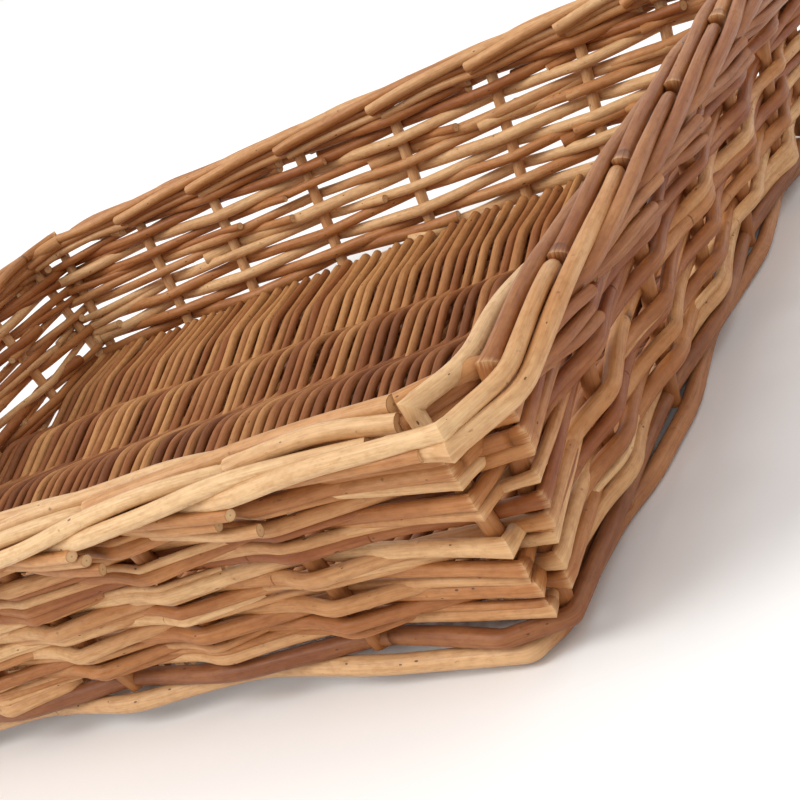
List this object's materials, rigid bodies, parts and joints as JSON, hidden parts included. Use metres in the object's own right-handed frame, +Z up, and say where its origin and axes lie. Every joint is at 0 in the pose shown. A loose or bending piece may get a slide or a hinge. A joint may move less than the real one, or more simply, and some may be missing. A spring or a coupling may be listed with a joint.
{
  "type": "wicker tray",
  "caption": "Shallow rectangular tray of whole willow rods with leaning woven walls, doubled corner uprights, a laid-down rod border, thick foot rods and a woven base.",
  "frame": {"origin": "on the surface that the tray stands on, under the middle of the tray", "axes": "+X along the long walls, from the left short wall to the right one; +Y from the front long wall to the back one; +Z up"},
  "size_m": [0.4576, 0.3734, 0.0877],
  "materials": {
    "stake_willow": "satin",
    "siding_willow": "satin",
    "stick_willow": "satin",
    "weaver_willow": "satin",
    "foot_willow": "satin"
  },
  "bodies": {
    "root": {"front_corner_stake_left": "stake_willow", "front_stake_1": "stake_willow", "front_stake_2": "stake_willow", "front_stake_3": "stake_willow", "front_stake_4": "stake_willow", "front_stake_5": "stake_willow", "front_stake_6": "stake_willow", "front_stake_7": "stake_willow", "front_corner_stake_right": "stake_willow", "right_corner_stake_front": "stake_willow", "right_stake_1": "stake_willow", "right_stake_2": "stake_willow", "right_stake_3": "stake_willow", "right_stake_4": "stake_willow", "right_stake_5": "stake_willow", "right_corner_stake_back": "stake_willow", "back_corner_stake_right": "stake_willow", "back_stake_1": "stake_willow", "back_stake_2": "stake_willow", "back_stake_3": "stake_willow", "back_stake_4": "stake_willow", "back_stake_5": "stake_willow", "back_stake_6": "stake_willow", "back_stake_7": "stake_willow", "back_corner_stake_left": "stake_willow", "left_corner_stake_back": "stake_willow", "left_stake_1": "stake_willow", "left_stake_2": "stake_willow", "left_stake_3": "stake_willow", "left_stake_4": "stake_willow", "left_stake_5": "stake_willow", "left_corner_stake_front": "stake_willow", "siding_rod_01": "siding_willow", "siding_rod_02": "siding_willow", "siding_rod_03": "siding_willow", "siding_rod_04": "siding_willow", "siding_rod_05": "siding_willow", "siding_rod_06": "siding_willow", "siding_rod_07": "siding_willow", "siding_rod_08": "siding_willow", "siding_rod_09": "siding_willow", "siding_rod_10": "siding_willow", "siding_rod_11": "siding_willow", "siding_rod_12": "siding_willow", "base_stick_1": "stick_willow", "base_stick_2": "stick_willow", "base_stick_3": "stick_willow", "base_stick_4": "stick_willow", "base_stick_5": "stick_willow", "base_stick_6": "stick_willow", "base_stick_7": "stick_willow", "base_weaver_1": "weaver_willow", "base_weaver_2": "weaver_willow", "base_weaver_3": "weaver_willow", "base_weaver_4": "weaver_willow", "base_weaver_5": "weaver_willow", "base_weaver_6": "weaver_willow", "base_weaver_7": "weaver_willow", "foot_rod_lower": "foot_willow", "foot_rod_upper": "foot_willow"}
  },
  "joints": []
}
